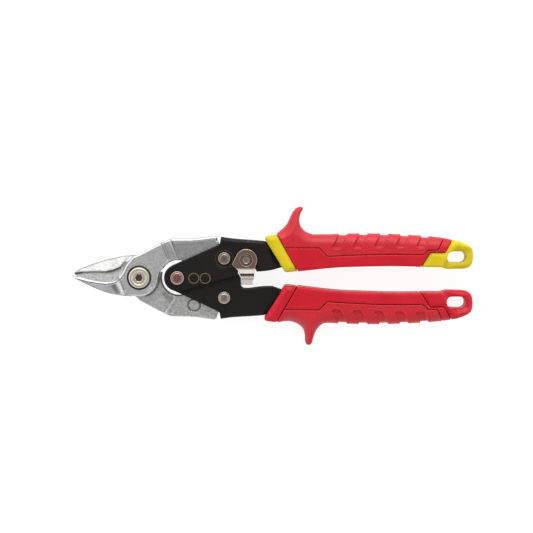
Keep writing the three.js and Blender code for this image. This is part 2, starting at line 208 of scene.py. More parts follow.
def piece(name, body, replaced, g, field, material, side=1, detail=0.5):
    """A mesh from a field, thinned to a share of its faces, riding on a CAD body."""
    points, quads = surface(g, field)
    points = points * (1, side, side) + (0, 0, MID_PLANE)
    mesh = bpy.data.meshes.new(name)
    mesh.from_pydata((points * MM).tolist(), [], quads.tolist())
    obj = add_object(name, mesh)
    if volume_of(mesh) < 0:
        mesh.flip_normals()
    apply_decimate(obj, detail)
    obj.data.polygons.foreach_set("use_smooth", [True] * len(obj.data.polygons))
    obj.data.materials.append(material)
    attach(obj, body)
    if replaced:
        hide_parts(*replaced)
    return obj


def volume_of(mesh):
    """The enclosed volume, negative when the faces point inwards."""
    mesh.calc_loop_triangles()
    count = len(mesh.loop_triangles)
    corners = np.empty(count * 3, dtype=np.int64)
    mesh.loop_triangles.foreach_get("vertices", corners)
    points = np.empty(len(mesh.vertices) * 3)
    mesh.vertices.foreach_get("co", points)
    a, b, c = points.reshape(-1, 3)[corners.reshape(-1, 3)].transpose(1, 0, 2)
    return float(np.einsum("ij,ij->i", a, np.cross(b, c)).sum()) / 6


def apply_decimate(obj, ratio):
    if ratio >= 1:
        return
    thin = obj.modifiers.new("thin", "DECIMATE")
    thin.ratio = ratio
    bpy.context.view_layer.objects.active = obj
    obj.select_set(True)
    bpy.ops.object.modifier_apply(modifier=thin.name)
    obj.select_set(False)


# ------------------------------------------------------------------ materials
def new_material(name, color, roughness, metallic=0.0):
    material = bpy.data.materials.new(name)
    material.use_nodes = True
    shader = material.node_tree.nodes["Principled BSDF"]
    shader.inputs["Base Color"].default_value = (*color, 1)
    shader.inputs["Roughness"].default_value = roughness
    shader.inputs["Metallic"].default_value = metallic
    return material, material.node_tree, shader


def noise(tree, place, scale, detail=3.0, roughness=0.55):
    """A noise texture, its scale in features per metre."""
    texture = tree.nodes.new("ShaderNodeTexNoise")
    texture.inputs["Scale"].default_value = scale
    texture.inputs["Detail"].default_value = detail
    texture.inputs["Roughness"].default_value = roughness
    tree.links.new(place, texture.inputs["Vector"])
    return texture.outputs["Fac"]


def object_place(tree, stretch=(1, 1, 1)):
    """Object coordinates, stretched along the axes for brushed and ground marks."""
    coordinates = tree.nodes.new("ShaderNodeTexCoord")
    mapping = tree.nodes.new("ShaderNodeMapping")
    mapping.inputs["Scale"].default_value = stretch
    tree.links.new(coordinates.outputs["Object"], mapping.inputs["Vector"])
    return mapping.outputs["Vector"]


def ramp(tree, value, low, high, start=0.35, end=0.65):
    """A colour that runs from low to high as the value runs from start to end."""
    color_ramp = tree.nodes.new("ShaderNodeValToRGB")
    first, last = color_ramp.color_ramp.elements
    first.position, last.position = start, end
    first.color = (*low, 1)
    last.color = (*high, 1)
    tree.links.new(value, color_ramp.inputs["Fac"])
    return color_ramp.outputs["Color"]


def span(tree, value, low, high, start=0.3, end=0.7):
    """A number that runs from low to high as the value runs from start to end."""
    rescale = tree.nodes.new("ShaderNodeMapRange")
    rescale.inputs["From Min"].default_value = start
    rescale.inputs["From Max"].default_value = end
    rescale.inputs["To Min"].default_value = low
    rescale.inputs["To Max"].default_value = high
    tree.links.new(value, rescale.inputs["Value"])
    return rescale.outputs["Result"]


def bumps(tree, shader, *layers):
    """Stacks bump layers, each a value with a strength and a height in metres."""
    normal = None
    for value, strength, height in layers:
        bump = tree.nodes.new("ShaderNodeBump")
        bump.inputs["Strength"].default_value = strength
        bump.inputs["Distance"].default_value = height
        tree.links.new(value, bump.inputs["Height"])
        if normal is not None:
            tree.links.new(normal, bump.inputs["Normal"])
        normal = bump.outputs["Normal"]
    tree.links.new(normal, shader.inputs["Normal"])


def wear_and_highlight_edges(tree, low=0.52, high=0.6):
    """1 on convex edges: where handling wears metal, and where mouldings get a painted
    highlight.
    """
    geometry = tree.nodes.new("ShaderNodeNewGeometry")
    return span(tree, geometry.outputs["Pointiness"], 0, 1, low, high)


def product(tree, first, second):
    """One value times another."""
    multiply = tree.nodes.new("ShaderNodeMath")
    multiply.operation = "MULTIPLY"
    tree.links.new(first, multiply.inputs[0])
    tree.links.new(second, multiply.inputs[1])
    return multiply.outputs["Value"]


def mix_colors(tree, factor, first, second):
    """The first colour turning into the second as the factor goes from 0 to 1."""
    mix = tree.nodes.new("ShaderNodeMix")
    mix.data_type = "RGBA"
    tree.links.new(factor, mix.inputs["Factor"])
    for value, socket in ((first, mix.inputs["A"]), (second, mix.inputs["B"])):
        if isinstance(value, tuple):
            socket.default_value = (*value, 1)
        else:
            tree.links.new(value, socket)
    return mix.outputs["Result"]


def painted_crease_shade_and_highlight(tree, skin, color, strength):
    """Paints shade into a moulding's creases and a painted highlight along its raised edges."""
    shadow = tuple(c * 0.4 for c in color)
    light = tuple(c + (1 - c) * 0.08 for c in color)
    geometry = tree.nodes.new("ShaderNodeNewGeometry")
    crease_shade = span(tree, geometry.outputs["Pointiness"], strength, 0, 0.41, 0.472)
    lit = mix_colors(tree, wear_and_highlight_edges(tree, 0.55, 0.64), skin, light)
    return mix_colors(tree, crease_shade, lit, shadow)


def moulded_plastic(name, color, tint, roughness, grain):
    """Injection-moulded plastic: slight colour drift and a fine eroded texture."""
    material, tree, shader = new_material(name, color, roughness)
    place = object_place(tree)
    broad = noise(tree, place, 60, 2)
    fine = noise(tree, place, 2600, 2)
    skin = ramp(tree, broad, color, tint)
    tree.links.new(painted_crease_shade_and_highlight(tree, skin, color, 0.4), shader.inputs["Base Color"])
    tree.links.new(span(tree, broad, roughness - 0.04, roughness + 0.06),
                   shader.inputs["Roughness"])
    bumps(tree, shader, (fine, grain, 0.00006))
    shader.inputs["Specular IOR Level"].default_value = 0.28
    return material


def textured_rubber(name, color, tint):
    """Soft overmoulding with a leathery, spark-eroded grain."""
    material, tree, shader = new_material(name, color, 0.62)
    place = object_place(tree)
    grain = noise(tree, place, 900, 4, 0.6)
    fine = noise(tree, place, 3200, 2)
    broad = noise(tree, place, 45, 2)
    base = ramp(tree, broad, color, tint)
    specks = span(tree, grain, 0, 0.35, 0.45, 0.75)
    lighter = tuple(min(1, c * 1.25 + 0.01) for c in tint)
    skin = mix_colors(tree, specks, base, lighter)
    tree.links.new(painted_crease_shade_and_highlight(tree, skin, color, 0.9), shader.inputs["Base Color"])
    tree.links.new(span(tree, grain, 0.38, 0.52), shader.inputs["Roughness"])
    bumps(tree, shader, (grain, 0.4, 0.00014), (fine, 0.3, 0.00005))
    shader.inputs["Specular IOR Level"].default_value = 0.42
    return material


RED = (0.5, 0.005, 0.017)
RED_TINT = (0.56, 0.007, 0.023)
YELLOW = (0.6, 0.47, 0.003)
YELLOW_TINT = (0.66, 0.52, 0.005)
red_plastic = moulded_plastic("red_plastic", RED, RED_TINT, 0.42, 0.12)
yellow_plastic = moulded_plastic("yellow_plastic", YELLOW, YELLOW_TINT, 0.42, 0.04)
red_rubber = textured_rubber("red_rubber", (0.48, 0.006, 0.016), (0.55, 0.009, 0.023))

# Colours laid over the steel by mesh attributes: painted shade and painted highlight.
PAINTED_LIGHT_COLORS = {"painted_highlight": (0.95, 0.95, 0.95), "painted_shade": (0.035, 0.03, 0.028)}
ETCHED_AND_HIGHLIGHT_TAN = (0.2, 0.16, 0.09)
PLATING_STAIN = (0.62, 0.5, 0.42)


def worked_steel(name, color, roughness, grain_scale, grain_height, mottle, edge_color):
    """Bare steel: a mottled or ground skin, faint stains, and edges polished by handling.

    The mesh attribute "painted_shade" holds painted shade in corners, grooves and shadow lines,
    and "painted_highlight" a painted highlight on bevels and facets.
    """
    material, tree, shader = new_material(name, color, roughness, 1.0)
    place = object_place(tree)
    brushed = object_place(tree, (1, 0.12, 1))
    broad = noise(tree, place, 90, 4)
    grain = noise(tree, place, grain_scale, 4, 0.6)
    strokes = noise(tree, brushed, 2600, 2)
    darker = tuple(c * (1 - mottle) for c in color)
    lighter = tuple(min(1, c * (1 + mottle * 0.7)) for c in color)
    skin = ramp(tree, grain, darker, lighter, 0.3, 0.72)
    stain = span(tree, broad, 0, 0.35, 0.45, 0.75)
    stained = mix_colors(tree, stain, skin, darker)
    wear_and_painted_light = mix_colors(tree, wear_and_highlight_edges(tree), stained, edge_color)
    for mark, shade in PAINTED_LIGHT_COLORS.items():
        attribute = tree.nodes.new("ShaderNodeAttribute")
        attribute.attribute_name = mark
        wear_and_painted_light = mix_colors(tree, attribute.outputs["Fac"], wear_and_painted_light, shade)
    tree.links.new(wear_and_painted_light, shader.inputs["Base Color"])
    tree.links.new(span(tree, grain, roughness - 0.07, roughness + 0.1),
                   shader.inputs["Roughness"])
    bumps(tree, shader, (grain, 0.6, grain_height), (strokes, 0.25, 0.00001))
    return material


def coated_sheet(name, color, roughness, wear_color, etched_and_highlight_rings=()):
    """Black coated sheet steel: a slight orange peel, and bare steel showing at sharp edges.

    Each ring is (x, y, radius, strength); the ring round the link rivet is a painted highlight
    on the embossed edge.
    """
    material, tree, shader = new_material(name, color, roughness)
    place = object_place(tree)
    peel = noise(tree, place, 700, 3)
    broad = noise(tree, place, 70, 3)
    scuffs = noise(tree, object_place(tree, (0.25, 1, 1)), 900, 4)
    scuffed = span(tree, scuffs, 0, 0.25, 0.6, 0.85)
    grey = tuple(c + 0.03 for c in color)
    coat = mix_colors(tree, scuffed, color, grey)
    wear_and_painted_light = mix_colors(tree, wear_and_highlight_edges(tree, 0.56, 0.68), coat, wear_color)
    for x, y, radius, strength in etched_and_highlight_rings:
        away = distance_from(tree, (x, y))
        inner = span(tree, away, 0, 1, (radius - 0.3) * MM, (radius - 0.15) * MM)
        outer = span(tree, away, strength, 0, (radius + 0.15) * MM,
                     (radius + 0.3) * MM)
        ring = product(tree, inner, outer)
        wear_and_painted_light = mix_colors(tree, ring, wear_and_painted_light, ETCHED_AND_HIGHLIGHT_TAN)
    tree.links.new(wear_and_painted_light, shader.inputs["Base Color"])
    shader.inputs["Specular IOR Level"].default_value = 0.2
    tree.links.new(span(tree, broad, roughness - 0.05, roughness + 0.08),
                   shader.inputs["Roughness"])
    bumps(tree, shader, (peel, 0.3, 0.00005))
    return material


def plated_relief(tree, shader, place, roughness, ripple):
    """Gives plating its ripples and its uneven gloss, and returns the broad noise in them."""
    broad = noise(tree, place, 160, 3)
    fine = noise(tree, place, 1900, 3)
    tree.links.new(span(tree, fine, roughness - 0.04, roughness + 0.06),
                   shader.inputs["Roughness"])
    bumps(tree, shader, (broad, 0.3, ripple), (fine, 0.2, 0.000012))
    return broad


def plated_steel(name, color, tint, roughness, ripple):
    """Nickel, zinc or chrome plating over pressed or turned steel."""
    material, tree, shader = new_material(name, color, roughness, 1.0)
    broad = plated_relief(tree, shader, object_place(tree), roughness, ripple)
    tree.links.new(ramp(tree, broad, color, tint), shader.inputs["Base Color"])
    return material


def plating_with_painted_light(name, bands, roughness, ripple):
    """Bright plating with painted highlights, painted reflections and painted shade in bands of
    (y, colour).
    """
    material, tree, shader = new_material(name, bands[0][1], roughness, 1.0)
    place = object_place(tree)
    broad = plated_relief(tree, shader, place, roughness, ripple)
    split = tree.nodes.new("ShaderNodeSeparateXYZ")
    tree.links.new(place, split.inputs["Vector"])
    low, high = bands[0][0], bands[-1][0]
    along = span(tree, split.outputs["Y"], 0, 1, low * MM, high * MM)
    tint = ramp(tree, along, bands[0][1], bands[-1][1], 0, 1)
    stops = tint.node.color_ramp.elements
    for y, color in bands[1:-1]:
        stops.new((y - low) / (high - low)).color = (*color, 1)
    cloudy = span(tree, broad, 0, 0.3, 0.5, 0.8)
    tree.links.new(mix_colors(tree, cloudy, tint, PLATING_STAIN), shader.inputs["Base Color"])
    return material


def distance_from(tree, centre):
    """The distance from a point: (x, y) for an upright axis, or (x, y, height)."""
    x, y, *height = centre
    distance = tree.nodes.new("ShaderNodeVectorMath")
    distance.operation = "DISTANCE"
    level = (height[0] + MID_PLANE) * MM if height else 0
    distance.inputs[1].default_value = (x * MM, y * MM, level)
    tree.links.new(object_place(tree, (1, 1, 1 if height else 0)), distance.inputs[0])
    return distance.outputs["Value"]


def headed_steel(name, centre, radius, middle_color, rim_color=(0.52, 0.46, 0.38)):
    """A bright rim round a darker middle: a rivet that its tool has stained, or painted shade in
    a socket.

    The middle is a disc about a centre (x, y), or a ball about a centre (x, y, height).
    """
    material, tree, shader = new_material(name, middle_color, 0.34, 1.0)
    place = object_place(tree)
    away = distance_from(tree, centre)
    rim = span(tree, away, 0, 1, radius * MM, (radius + 0.2) * MM)
    grain = noise(tree, place, 1500, 4)
    lighter = tuple(c * 1.6 for c in middle_color)
    middle = ramp(tree, grain, middle_color, lighter)
    tree.links.new(mix_colors(tree, rim, middle, rim_color), shader.inputs["Base Color"])
    tree.links.new(span(tree, grain, 0.26, 0.4), shader.inputs["Roughness"])
    bumps(tree, shader, (grain, 0.3, 0.00003))
    return material


ground_steel = worked_steel("ground_steel", (0.63, 0.63, 0.64), 0.4, 1100, 0.00003, 0.12,
                            (0.85, 0.85, 0.85))
forged_steel = worked_steel("forged_steel", (0.665, 0.675, 0.65), 0.4, 620, 0.00022, 0.22,
                            (0.8, 0.8, 0.78))
COAT_BLACK, COAT_WEAR = (0.008, 0.006, 0.005), (0.13, 0.125, 0.12)
# The first two rings are etched; the last paints a highlight along the edge of the embossed ring
# round the link rivet.
ETCHED_AND_HIGHLIGHT_RINGS = ((32.8, -0.1, 3.0, 0.75), (39.7, -0.1, 3.0, 0.75), (51.1, 11.9, 5.3, 0.2))
black_coat = coated_sheet("black_coat", COAT_BLACK, 0.46, COAT_WEAR)
marked_coat = coated_sheet("marked_black_coat", COAT_BLACK, 0.46, COAT_WEAR, ETCHED_AND_HIGHLIGHT_RINGS)
nickel = plated_steel("nickel_plate", (0.6, 0.54, 0.46), (0.7, 0.65, 0.57), 0.24, 0.00003)
# Painted light across the latch: highlights on its bends, the red grip's reflection on its wall,
# shade in its creases and over the disc.
PAINTED_DISC_SHADE, PAINTED_BAND_SHADE, PAINTED_RED_REFLECTION = (0.44, 0.31, 0.25), (0.35, 0.26, 0.2), (0.12, 0.06, 0.045)
PAINTED_BAND_HIGHLIGHT = (0.98, 0.92, 0.84)
latch_plating = plating_with_painted_light("chrome_with_painted_light", [
    (-3.9, PAINTED_BAND_HIGHLIGHT), (-0.8, PAINTED_BAND_HIGHLIGHT), (-0.6, PAINTED_BAND_SHADE), (-0.4, PAINTED_BAND_HIGHLIGHT), (0.8, PAINTED_BAND_HIGHLIGHT), (1.0, PAINTED_BAND_SHADE),
    (1.8, PAINTED_BAND_SHADE), (2.0, PAINTED_RED_REFLECTION), (2.8, PAINTED_RED_REFLECTION), (3.1, PAINTED_BAND_HIGHLIGHT), (5.4, PAINTED_BAND_HIGHLIGHT),
    (6.4, PAINTED_DISC_SHADE), (9, PAINTED_DISC_SHADE)], 0.18, 0.00004)
# The hex socket's dark middle is painted shade.
bolt_steel = headed_steel("bolt_nickel", (0, 0, 6.6), 2.5, (0.13, 0.1, 0.08),
                          (0.74, 0.67, 0.56))
drawn_steel = plated_steel("drawn_steel", (0.4, 0.4, 0.41), (0.5, 0.5, 0.51), 0.3, 0.00003)

# ------------------------------------------------------------------ grips
GRIP_HALF = MID_PLANE - 0.05     # the flat backs rest just above the floor plane
LUG_HALF = 6.6
OUTER_ROUND = 6.5
INNER_ROUND = 1.3
GAP = 0.28                       # width of the groove between two mouldings
GRIP_STEP = 0.45
COLLAR_LINE = [(80.3, 30.6), (97.4, 0.7)]
PARTING_LINE = [(87.2, 18.55), (108, 18.65), (113, 13.6), (129.7, 14.5), (145, 15.1),
                (155, 15.15), (170.5, 14.95), (173.4, 17.7), (179.2, 17.9), (184.3, 28)]
CAP_LINE = [(165, 1), (168.9, 7.2), (174.8, 16.5), (183.4, 16.4), (190.2, 28)]
COLLAR_FRONT = [(81.5, 26.25), (76.9, 25.6), (75.7, 25), (75.3, 23.9), (76.2, 22), (85.7, 7),
                (87.2, 4.5), (88.4, 3.9), (94.8, 4.5)]
INNER_EDGE = [(96, 4.55), (105, 5.55), (115, 6.65), (125, 7.3), (145, 7.9), (155, 8.0),
              (165, 7.85), (170, 7.6), (181.2, 7.5), (183.3, 6.9), (185.5, 6.4), (190, 6.4)]
CAP_END = [(194.5, 6.5), (197.2, 6.9), (199.2, 8), (200.5, 10), (201, 12.7), (201, 16.1),
           (200, 19), (197.7, 20.9), (194.5, 22.4), (191, 23.5), (188, 24.1)]
OUTER_EDGE = [(182.6, 25.1), (178, 25.6), (166, 26.45), (153, 27.1), (140, 27.35),
              (128, 27.25), (115, 26.75)]
HORN = [(104.5, 26.6), (101.3, 27.6), (99.3, 28.8), (97.7, 30.5), (96.6, 32.3), (96.1, 34.5),
        (96.1, 36.5), (96.5, 38.3), (97.1, 39.9), (97.9, 41.1), (98.2, 42.2), (97.4, 43.3),
        (95.7, 43.1), (94.1, 42.3), (92.7, 40.9), (91.3, 38.5), (90.1, 35.7), (88.9, 33.3),
        (87.3, 31.1), (85, 29.1), (83.3, 27.4)]
PRONG = [(112.1, 26.8), (110.5, 27.4), (108.5, 29), (106.9, 31), (105.7, 33.4), (104.9, 35.8),
         (104.4, 38.2), (103.5, 39.6), (102.1, 40.1), (100.9, 39.6), (100.2, 38.2),
         (100.1, 35.8), (99.7, 33), (98.9, 30.6), (97.3, 28.8), (95.3, 27.5), (92.9, 26.5),
         (90, 26.0), (84.5, 26.1)]
LANYARD_SLOT = [(188.3, 13.65), (193.2, 13.65)]
LANYARD_RADIUS = 3.4
SLEEVE = [(84, 7.9), (130, 8.4), (168, 9.2), (172, 9.2), (172, 20.6), (84, 20.6)]
SLOT_FOOT = [(116, 18.2), (128.4, 18.6), (141.2, 19), (153.8, 19.2), (166.4, 19.1)]
SLOT_SIZE = {"width": 5.1, "lean": 5.9, "height": 12, "depth": 1.2, "corner": 1.3}


def grip_envelope(g, finger, thinner=0.0):
    """The outside of a whole grip, before it is parted into its three mouldings."""
    outline = [*COLLAR_FRONT, *smooth_line(INNER_EDGE), *smooth_line(CAP_END),
               *smooth_line(OUTER_EDGE), *smooth_line(finger)]
    from_front = line_distance(g, COLLAR_FRONT)
    radius = (OUTER_ROUND - INNER_ROUND) * between(g.y, 13, 18) * between(from_front, 1.5, 7)
    radius = INNER_ROUND + radius - 4.2 * between(g.y, 27, 36) * between(g.x, 84, 88)
    radius = radius + (3.0 - radius) * between(g.x, 184, 192)
    thumb_slope = 2.3 * np.clip(1 - line_distance(g, finger[-9:-1]) / 5, 0, 1)
    half = GRIP_HALF - 1.8 * between(g.y, 26, 40) - thumb_slope - thinner
    return both(plan_distance(g, outline), np.abs(g.z) - half, radius)


def sleeve(g, grow=0.0):
    """The hidden part of the core that the tang sits in."""
    return both(plan_distance(g, SLEEVE), np.abs(g.z) - 6.4, 0.8) - grow


def collar_rib(g, finger):
    """A rib of the core under the collar's groove, so that nothing shows through it."""
    return both(line_distance(g, COLLAR_LINE) - 1.6, grip_envelope(g, finger, 2.2) + 1.2)


def grip_slots(g):
    """The slanted finger slots across the pad, as one signed distance in plan."""
    size = SLOT_SIZE
    nearest = None
    for x, y in SLOT_FOOT:
        corner = size["corner"]
        left, right = x + corner, x + size["width"] - corner
        foot, top = y + corner, y + size["height"]
        outline = [(left, foot), (right, foot), (right + size["lean"], top),
                   (left + size["lean"], top)]
        slot = plan_distance(g, outline) - corner
        nearest = slot if nearest is None else np.minimum(nearest, slot)
    return nearest


def slot_recess(g):
    """Sinks the slots below the pad and leaves a low bead round each of them."""
    distance = grip_slots(g)
    depth = SLOT_SIZE["depth"] * (1 - 0.3 * between(g.y, 22, 26))
    recess = depth * between(-distance, -0.15, 0.5)
    bead = 0.22 * between(distance, 1.1, 0.5) * between(distance, -0.1, 0.2)
    return recess - bead


def grip_pad(g, finger):
    """The soft outer moulding, with the thumb horn or finger prong."""
    region = plan_distance(g, [*PARTING_LINE, (184.3, 60), (63.4, 60)])
    skin = grip_envelope(g, finger, 0.19) + slot_recess(g)
    rim = 0.1 * between(-region, 1.3, 0.7)
    pad = without(both(skin - rim, region + GAP / 2, 0.5), sleeve(g, 0.3))
    return without(pad, collar_rib(g, finger) - 0.3)


def grip_shell(g, finger):
    """The smooth moulding along the inner side."""
    bottom = [(87.2, 18.55), (97.4, 0.7), *CAP_LINE, *PARTING_LINE[::-1][:-1]]
    region = plan_distance(g, bottom)
    skin = grip_envelope(g, finger)
    shell = without(both(skin, region + GAP / 2, 0.5), sleeve(g, 0.3))
    return without(shell, collar_rib(g, finger) - 0.3)


def lug_thinning(g):
    """How far the end cap drops towards its thin lug, beyond a slanted line."""
    across = ((g.x - 181) * 6.4 - (g.y - 8) * 4.2) / math.hypot(6.4, 4.2)
    fade = 1 - 0.75 * between(g.y, 16, 21)
    return (GRIP_HALF - LUG_HALF) * between(across, 0, 3.0) * fade


def grip_core(g, finger):
    """The hard inner moulding: collar, hidden sleeve round the tang, and end cap."""
    collar_region = plan_distance(g, [COLLAR_LINE[1], COLLAR_LINE[0], (60, 40), (60, 0.7)])
    cap_region = plan_distance(g, [*CAP_LINE, (215, 28), (215, 1)])
    from_groove = line_distance(g, COLLAR_LINE)
    collar_lip = 0.5 * between(from_groove, 1.5, 2.0)
    front_bevel = 1.1 * np.clip(1 - line_distance(g, COLLAR_FRONT) / 2.8, 0, 1)
    collar_skin = grip_envelope(g, finger, 0.7 - collar_lip + front_bevel)
    collar = both(collar_skin, collar_region + GAP / 2, 0.6)
    border = 0.6 * between(line_distance(g, CAP_LINE), 1.7, 1.25)
    cap_skin = grip_envelope(g, finger, 0.35 + border + lug_thinning(g))
    cap = both(cap_skin, cap_region + GAP / 2, 0.5)
    core = either(np.minimum(collar, cap), np.minimum(sleeve(g), collar_rib(g, finger)))
    slot = line_distance(g, LANYARD_SLOT) - LANYARD_RADIUS
    return without(without(core, slot, 0.9), tang_pocket(g))


def tang_pocket(g):
    """The room inside the core for the frame's neck and tang."""
    mouth = plan_distance(g, [(60, 24), (76, 23.4), (80, 22.2), (84.6, 19.3), (84.6, 6.6),
                              (82, 4.4), (60, 3)])
    tang = plan_distance(g, [(80, 4.2), (86, 6), (88.6, 6.9), (90.2, 9.7), (168.3, 9.7),
                             (168.3, 19.3), (80, 19.3)])
    return np.minimum(both(mouth, np.abs(g.z) - 7.5), both(tang, np.abs(g.z) - 4.8))


def make_grip(handle, side, finger, core_material, core_slot):
    top = max(y for _, y in finger) + 1.5
    body = f"{handle}_handle"
    parts = {
        "pad": (grip_pad, red_rubber, "red_pad", (82, 12.5), (185, top), 0.6),
        "shell": (grip_shell, red_plastic, "red_shell", (86, 3), (190, 27), 0.6),
        "core": (grip_core, core_material, core_slot, (74, 2.5), (202, 28), 0.65),
    }
    for part, (shape, material, slot, low, high, detail) in parts.items():
        g = Grid((*low, -11), (*high, 11), GRIP_STEP)
        piece(f"{handle}_{part}_moulding", body, [f"{handle}_grip_{part}"], g,
              shape(g, finger), material, side, detail)


make_grip("upper", 1, HORN, yellow_plastic, "yellow_core")
make_grip("lower", -1, PRONG, red_plastic, "red_shell")


# ------------------------------------------------------------------ pins and their holes
BOLT_SHANK, BOLT_HEAD = 4.0, 6.2
HANDLE_PIN, HANDLE_HEAD = 3.0, 4.1
LINK_PIN, LINK_HEAD = 2.5, 3.7
LATCH_PIN, LATCH_HEAD = 2.0, 3.0
SNUG, RUNNING, LOOSE = 0.03, 0.06, 0.3     # radial clearances


# ------------------------------------------------------------------ blades
BOSS_TOP = 7.0
TAIL_LOW = -2.925
SHEAR_GAP = 0.05
BOSS_RADIUS = 11.2
COUNTERBORE, BOLT_SEAT = 7.1, 5.0
RING_CENTRE, RING_RADIUS = (23.2, 0.5), 10.2
EYE_RADIUS = 8.2
BLADE_STEP = 0.27
FRONT_NOSE = [(-40.9, 0.9), (-38.8, -1), (-35, -2.9), (-30, -5.3), (-25, -7.4), (-20, -9.2),
              (-15, -10.4), (-10, -11), (-5, -11.3)]
FRONT_CUTTING_EDGE = [(-12.6, 0.2), (-14, -1), (-16, -2.3), (-20, -2.9), (-25, -2.5),
                      (-30, -1.6), (-35, -0.2), (-40.9, 0.9)]
FRONT_BOSS_LEFT = [(-4, 12.6), (-5.5, 10.8), (-8, 7.5), (-9.5, 4.5), (-11, 1.8), (-12.6, 0.2)]
REAR_NOSE = [(-40.1, -2.0), (-38.2, -3.9), (-35, -5.4), (-30, -7.4), (-25, -9.1), (-20, -10.6),
             (-15, -11.7), (-10, -12.7), (-3, -13.2)]
REAR_CUTTING_EDGE = [(-11.2, 3.4), (-16, 4.4), (-20, 4.6), (-25, 4.2), (-30, 3.2), (-35, 1.6),
                     (-38.7, -0.7), (-40.1, -2.0)]
REAR_LAND_LINE = [(-39.3, -1.9), (-35, -2.5), (-30, -2.8), (-25, -2.9), (-20, -3.0),
                  (-16, -3.9), (-12, -5.6)]
REAR_LAND_END = [(-11.1, -6.3), (-4.6, -11.9), (-3, -14.5)]
TAIL_TOP = [(46.9, 22.8), (46.5, 24.7), (45, 25.3), (40, 24.65), (35, 23.95), (30, 23.6),
            (19, 23.5), (15, 22), (10, 19.6), (5, 16.9), (0, 14.3)]
BOSS_EDGE = [(-13, 40), (-12.9, 2), (-12.4, 0), (-11.5, -1.5), (-10.3, -4.5), (-9.2, -7.7),
             (-8.9, -9.9), (-8.9, -40)]


def tail_outline(ring_start):
    ring = arc(*RING_CENTRE, RING_RADIUS, ring_start, 38, 18)
    eye = arc(*LINK_PIVOT, EYE_RADIUS, -90, 112, 20)
    return [*ring, (36, 5.6), (43, 4.3), *eye, *TAIL_TOP]


def front_outline():
    boss = arc(0, 0, BOSS_RADIUS, -95, 0, 20)
    return [*smooth_line(FRONT_NOSE), *boss, (11.6, 1.5), (12.4, 3.8), *tail_outline(150),
            *smooth_line(FRONT_BOSS_LEFT), *smooth_line(FRONT_CUTTING_EDGE)[1:]]


def rear_outline():
    boss = arc(0, 0, BOSS_RADIUS + 0.4, -70, -18, 10)
    ring = arc(*RING_CENTRE, RING_RADIUS, 195, 152, 8)
    return [*smooth_line(REAR_NOSE), (3, -12), *boss, (13.3, -3.2), *ring, *tail_outline(150),
            (-3, 11.6), (-8.5, 8), *smooth_line(REAR_CUTTING_EDGE)]


def nose_height(g):
    """The outer face of the nose, with a ramp up to the boss."""
    past_boss = -plan_distance(g, [*BOSS_EDGE, (-80, -40), (-80, 40)])
    floor = 2.4 + 2.4 * np.clip((g.x + 40) / 22, 0, 1) + 0.1 * np.clip(-13 - g.x, 0, 8)
    floor = floor - 0.09 * np.maximum(-g.y - 2, 0)
    ramp = BOSS_TOP - 0.72 * np.maximum(past_boss, 0)
    blend = 0.6
    mix = np.clip(0.5 + 0.5 * (floor - ramp) / blend, 0, 1)
    joined = ramp + (floor - ramp) * mix + blend * mix * (1 - mix)
    return np.where(past_boss > 0, joined, BOSS_TOP)


def tail_height(g):
    """A sharp drop from the boss, a slanted facet, and a small step down to the tail."""
    across = ((g.x - 13) * 8 + (g.y - 20) * 3.5) / math.hypot(8, 3.5)
    height = BOSS_TOP - 1.7 * np.clip(across / 0.9, 0, 1)
    height = height + 0.45 * np.clip((across - 0.9) / 4.4, 0, 1)
    return height - 0.68 * np.clip((across - 5.3) / 0.5, 0, 1)


def edge_trim(g, bright_edge):
    """How far the ground bevel on the upper outline sinks a face, with a scribed line in it."""
    away = line_distance(g, bright_edge)
    scribe = 0.15 + 0.2 * between(g.x, -12, -16) * between(g.x, -33, -27)
    return 0.95 * (1 - np.clip(away / 1.15, 0, 1)) + scribe * between(
        np.abs(away - 1.4), 0.5, 0.1)


def blade(g, outline, bright_edge, lower_face, eye_hole):
    """One forging: nose, boss with its bolt hole, open ring and tail with its eye."""
    plan = plan_distance(g, outline)
    top = g.z - np.minimum(nose_height(g), tail_height(g)) + edge_trim(g, bright_edge)
    round_boss = 0.8 * between(-g.y, 1, 8) * between(g.x, -9, -6) * between(g.x, 14, 10)
    lower_side = between(line_distance(g, bright_edge), 1, 3)
    outer = both(plan, top, 0.25 + 0.5 * between(g.x, -36, -16) * lower_side + round_boss)
    flat = both(outer, lower_face - g.z, 0.15)
    boss_room = from_axis(g) - (BOSS_RADIUS + 0.9)
    past_root = plan_distance(g, [(20.6, 12.6), (15.8, 19.6), (14.5, 40), (80, 40), (80, -20),
                                  (20.6, -20)])
    root = np.maximum(past_root, np.maximum(-boss_room, 15.5 - g.x))
    deep = both(outer, both(TAIL_LOW - g.z, root, 0.9), 0.6)
    deep = np.maximum(deep, g.z - 2)
    body = np.minimum(flat, deep)
    counterbore = both(disc(g, (0, 0), COUNTERBORE), BOLT_SEAT - g.z)
    body = without(body, counterbore, 0.35)
    body = without(body, disc(g, (0, 0), BOLT_SHANK + RUNNING))
    return without(body, disc(g, LINK_PIVOT, eye_hole))


def rear_land(g):
    """The rear blade's inner face: a hollow land, then a ridge that slopes to the outline."""
    land = SHEAR_GAP + 0.15 * np.clip(3.6 - g.y, 0, 7.5) * between(g.x, -10.5, -13)
    zone = plan_distance(g, [*REAR_LAND_LINE, *REAR_LAND_END, (4, -40), (-80, -40),
                             (-80, -1.9)])
    ridge = -0.3 - 1.2 * between(g.x, -38, -24)
    facet = ridge + 0.3 * line_distance(g, REAR_LAND_LINE)
    clear = between(from_axis(g), 12.7, 13.6)
    facet = np.where(facet < SHEAR_GAP, SHEAR_GAP + (facet - SHEAR_GAP) * clear, facet)
    return land + (facet - land) * np.clip(-zone / 0.45, 0, 1)


STAMP, STAMP_RADIUS = (33, 16.5), 3.7      # a plain forging mark on the rear blade's tail


